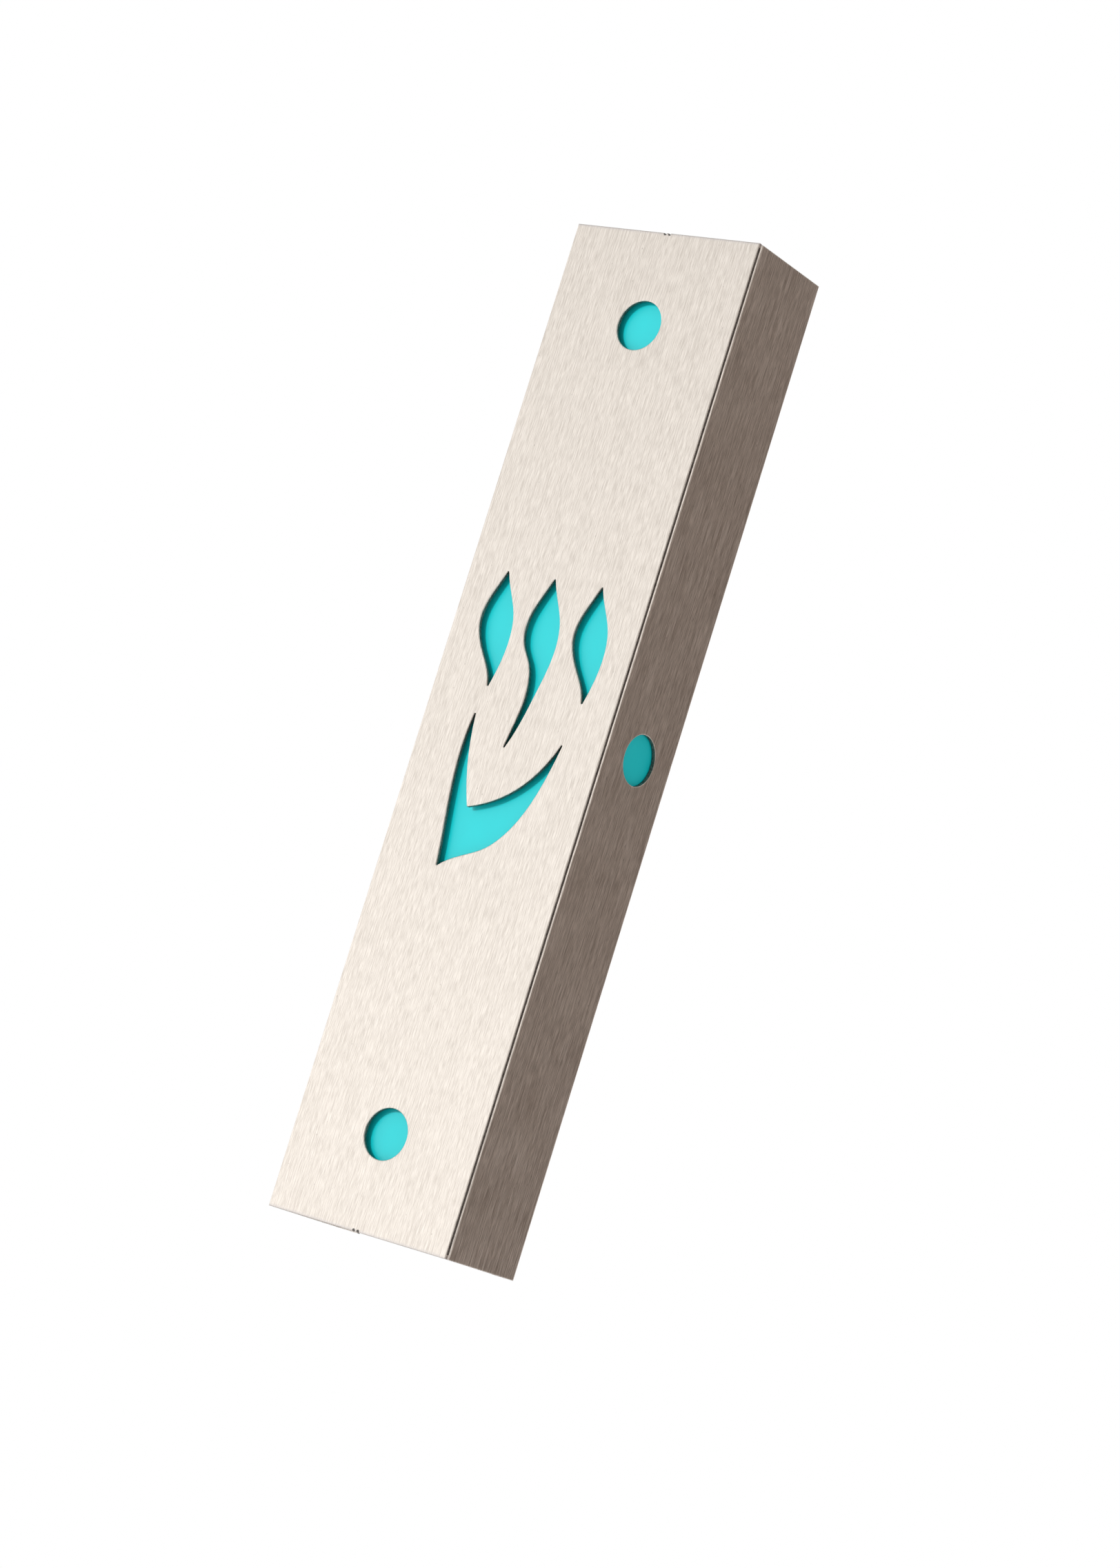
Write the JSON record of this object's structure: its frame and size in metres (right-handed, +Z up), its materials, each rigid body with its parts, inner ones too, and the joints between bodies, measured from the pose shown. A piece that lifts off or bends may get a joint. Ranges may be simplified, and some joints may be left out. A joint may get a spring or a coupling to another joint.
{
  "type": "mezuzah case",
  "caption": "Folded brushed-steel mezuzah case with a stencil-cut letter and round holes over a turquoise liner, sliding down over a screwed back plate that holds a rolled scroll.",
  "frame": {"origin": "middle of the back plate's flat rear face, on the doorpost", "axes": "+Z up along the length, the front faces -Y, +Y into the doorpost, +X to the right as seen from the front"},
  "size_m": [0.0262, 0.0141, 0.12],
  "materials": {
    "brushed_steel_front": "brushed along the length, warm satin",
    "brushed_steel_body": "brushed along the length, satin",
    "turquoise_paint": "satin paint",
    "bonding_tape": "matte foam",
    "plain_steel": "mill finish",
    "spring_steel": "polished strip",
    "rivet_aluminium": "plain",
    "parchment": "matte skin",
    "clear_film": "clear gloss film"
  },
  "bodies": {
    "wall_plate": {"back_plate": "plain_steel", "upper_scroll_clip": "spring_steel", "lower_scroll_clip": "spring_steel", "upper_clip_rivet": "rivet_aluminium", "lower_clip_rivet": "rivet_aluminium", "parchment_scroll": "parchment", "scroll_wrap": "clear_film"},
    "sliding_case": {"front_plate": "brushed_steel_front", "outer_body": "brushed_steel_body", "colour_liner": "turquoise_paint", "upper_left_tape": "bonding_tape", "upper_right_tape": "bonding_tape", "lower_left_tape": "bonding_tape", "lower_right_tape": "bonding_tape"}
  },
  "joints": [
    {"name": "case_slide", "type": "slide", "parent": "wall_plate", "child": "sliding_case", "axis": [0, 0, 1], "range_m": [0, 0.125]}
  ]
}
